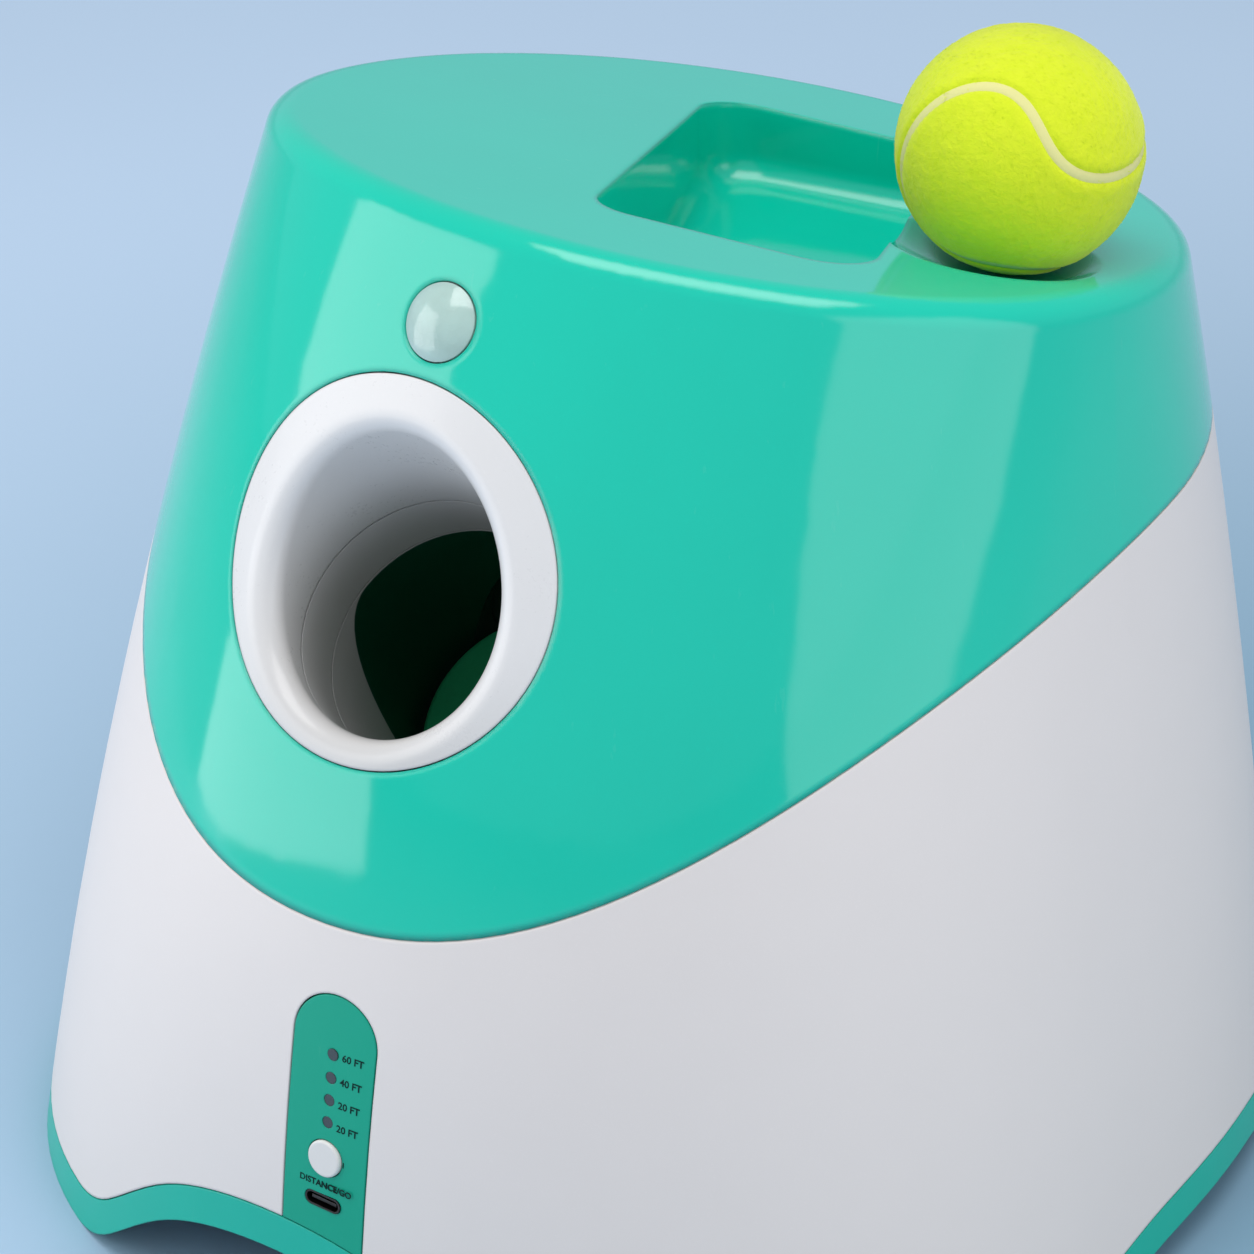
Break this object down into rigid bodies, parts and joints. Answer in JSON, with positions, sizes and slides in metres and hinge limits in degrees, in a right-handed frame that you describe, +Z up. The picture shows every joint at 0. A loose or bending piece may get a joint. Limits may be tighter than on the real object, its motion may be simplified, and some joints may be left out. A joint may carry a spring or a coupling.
{
  "type": "automatic dog ball launcher",
  "caption": "Automatic ball launcher for small dogs: hooded body with feed pocket, ball dish, angled muzzle, sensor, control strip, and a spring launching mechanism inside.",
  "frame": {"origin": "centre of the overall footprint, on the floor", "axes": "+Z up, the muzzle and the control panel face -Y, +X to the right of the object as seen from behind the muzzle face looking along +Y"},
  "size_m": [0.2555, 0.2802, 0.2622],
  "materials": {
    "hood_gloss": "glossy",
    "shell_satin": "satin",
    "skirt_satin": "satin",
    "foot_rubber": "matt",
    "screw_steel": "zinc plated",
    "base_plastic": "matt",
    "battery_wrap": "shrink wrap",
    "circuit_board": "solder resist",
    "component_black": "matt",
    "ring_white": "glossy",
    "tube_grey": "satin",
    "chamber_green": "satin",
    "plunger_plastic": "satin",
    "spring_steel": "bright wire",
    "gear_plastic": "satin",
    "pinion_brass": "turned",
    "shaft_steel": "ground",
    "plate_plastic": "satin",
    "motor_can": "drawn steel",
    "panel_green": "satin",
    "window_dark": "tinted",
    "led_clear": "clear epoxy",
    "lens_clear": "frosted polyethylene",
    "switch_lever": "sprung sheet",
    "ball_felt": "felt"
  },
  "bodies": {
    "housing": {"ball_switch": "component_black", "barrel": "tube_grey", "barrel_screws": "screw_steel", "base_plate": "base_plastic", "base_screws": "screw_steel", "battery_door": "base_plastic", "battery_pack": "battery_wrap", "board_components": "component_black", "board_screws": "screw_steel", "cap_screws": "screw_steel", "control_board": "circuit_board", "control_board_screws": "screw_steel", "control_panel": "panel_green", "cradle_screws": "screw_steel", "cylinder_cradle": "plunger_plastic", "door_screws": "screw_steel", "drive_motor": "motor_can", "feed_chute": "chamber_green", "frame_screws": "screw_steel", "gearbox_plate_left": "plate_plastic", "gearbox_plate_right": "plate_plastic", "hood": "hood_gloss", "hood_screws": "screw_steel", "launch_cylinder": "chamber_green", "launch_spring": "spring_steel", "lower_housing": "shell_satin", "main_board": "circuit_board", "motor_screws": "screw_steel", "muzzle_ring": "ring_white", "rubber_feet": "foot_rubber", "sensor_board": "circuit_board", "sensor_can": "shaft_steel", "sensor_lens": "lens_clear", "sensor_screws": "screw_steel", "shaft_bushes": "pinion_brass", "skirt": "skirt_satin", "speaker": "component_black", "spring_cap": "plunger_plastic", "status_leds": "led_clear", "status_windows": "window_dark", "tact_switch": "component_black", "usb_socket": "shaft_steel"},
    "plunger_body": {"plunger": "plunger_plastic", "plunger_pad": "foot_rubber"},
    "sector_body": {"sector_gear": "gear_plastic", "sector_shaft": "shaft_steel"},
    "reduction_body": {"reduction_gear": "gear_plastic", "reduction_shaft": "shaft_steel"},
    "motor_body": {"motor_pinion": "pinion_brass", "motor_shaft": "shaft_steel"},
    "button_body": {"control_button": "ring_white"},
    "lever_body": {"ball_switch_lever": "switch_lever"},
    "ball_body": {"tennis_ball": "ball_felt"}
  },
  "joints": [
    {"name": "plunger_slide", "type": "slide", "parent": "housing", "child": "plunger_body", "axis": [0, 0.6691, -0.7431], "range_m": [0, 0.04], "stiffness_N_per_m": 600, "springref_m": -0.015, "deforming": ["launch_spring"]},
    {"name": "sector_spin", "type": "hinge", "parent": "housing", "child": "sector_body", "pos_m": [0, -0.06368, 0.04504], "axis": [-1, 0, 0], "range_deg": [0, 127.37]},
    {"name": "reduction_spin", "type": "hinge", "parent": "housing", "child": "reduction_body", "pos_m": [0, -0.08968, 0.04504], "axis": [1, 0, 0], "range_deg": [0, 424.61]},
    {"name": "motor_spin", "type": "hinge", "parent": "housing", "child": "motor_body", "pos_m": [0, -0.09982, 0.06679], "axis": [-1, 0, 0], "range_deg": [0, 1698.45]},
    {"name": "button_press", "type": "slide", "parent": "housing", "child": "button_body", "axis": [0, 0.9928, -0.1195], "range_m": [0, 0.001], "stiffness_N_per_m": 300},
    {"name": "lever_swing", "type": "hinge", "parent": "housing", "child": "lever_body", "pos_m": [0.04437, -0.02725, 0.14599], "axis": [0.1028, -0.9107, 0.4], "range_deg": [0, 12], "stiffness_Nm_per_rad": 0.01},
    {"name": "ball_lift", "type": "slide", "parent": "housing", "child": "ball_body", "axis": [0, 0, 1], "range_m": [0, 0.06]}
  ],
  "couplings": [
    {"joint": "sector_spin", "follows": "plunger_slide", "rad_per_m": 55.556},
    {"joint": "reduction_spin", "follows": "plunger_slide", "rad_per_m": 185.19},
    {"joint": "motor_spin", "follows": "plunger_slide", "rad_per_m": 740.74}
  ]
}
